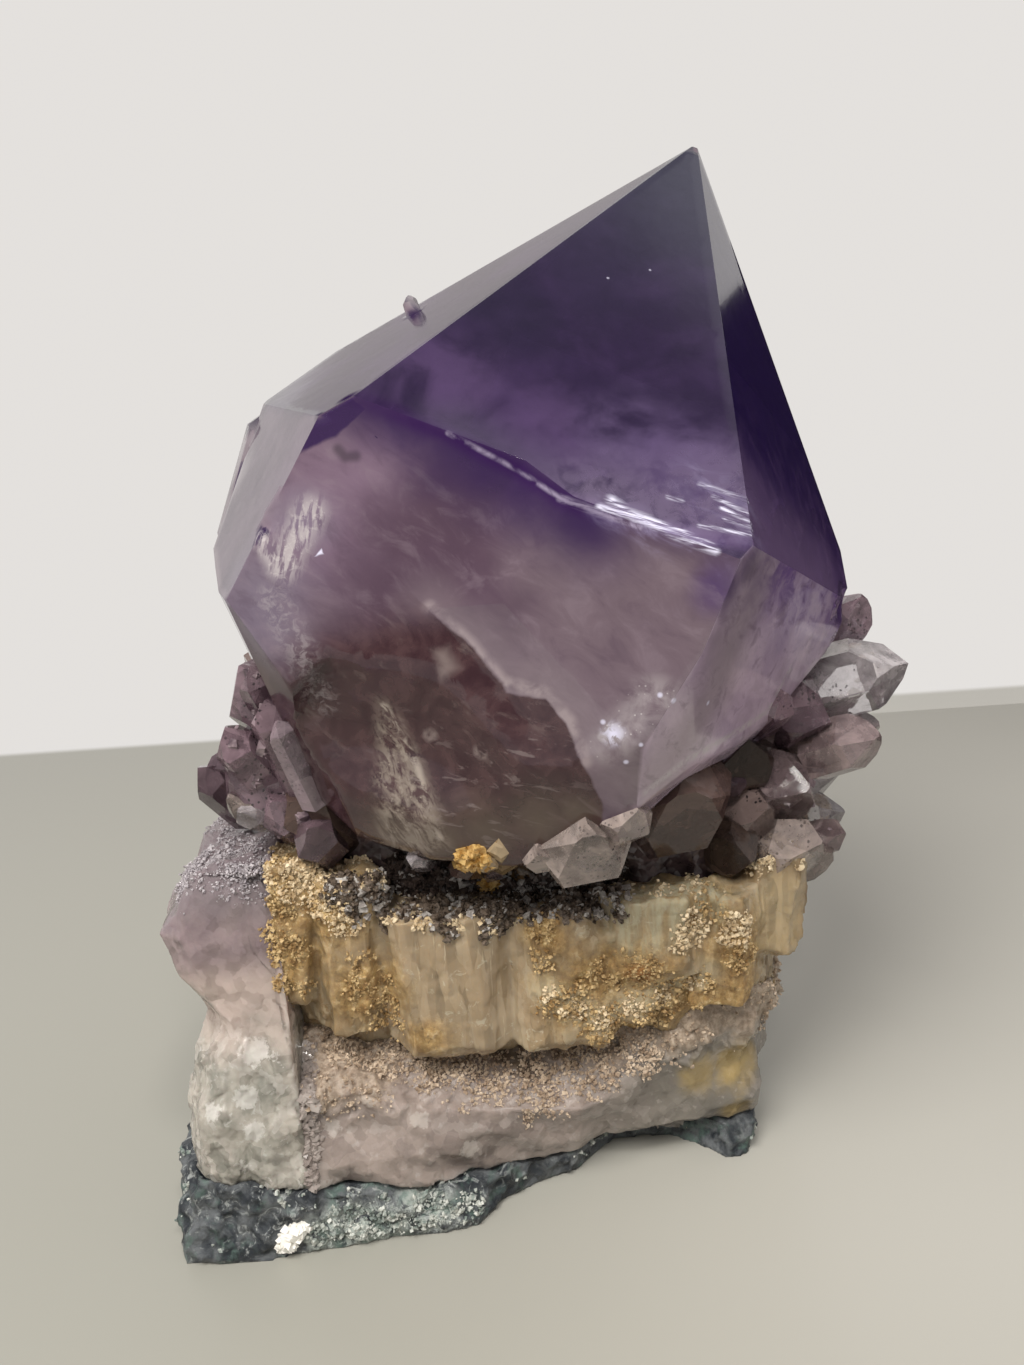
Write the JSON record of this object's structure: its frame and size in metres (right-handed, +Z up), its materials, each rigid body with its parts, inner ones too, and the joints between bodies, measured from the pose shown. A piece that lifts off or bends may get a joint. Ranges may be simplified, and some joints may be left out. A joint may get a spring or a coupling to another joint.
{
  "type": "amethyst point on matrix",
  "caption": "Large lilac-to-purple amethyst point leaning over a collar of small quartz crystals, on honey-coloured, milky and purple quartz above a thin basalt crust.",
  "frame": {"origin": "middle of the specimen's plan outline, on the flat underside of the basalt crust", "axes": "+Z up, +Y away from the viewer of the picture (the front faces -Y), +X to the viewer's right, the way the point leans"},
  "size_m": [0.1452, 0.1122, 0.1861],
  "materials": {
    "amethyst": "clear to cloudy, glossy crystal faces",
    "druse": "glossy small crystals, clear to speckled",
    "honey_quartz": "waxy, granular",
    "milky_quartz": "fractured, satin",
    "purple_quartz": "fractured, satin, frosty on top",
    "basalt": "matt, granular"
  },
  "bodies": {
    "root": {"amethyst_point": "amethyst", "amethyst_druse": "druse", "honey_columns": "honey_quartz", "milky_quartz": "milky_quartz", "purple_quartz_block": "purple_quartz", "basalt_crust": "basalt"}
  },
  "joints": []
}
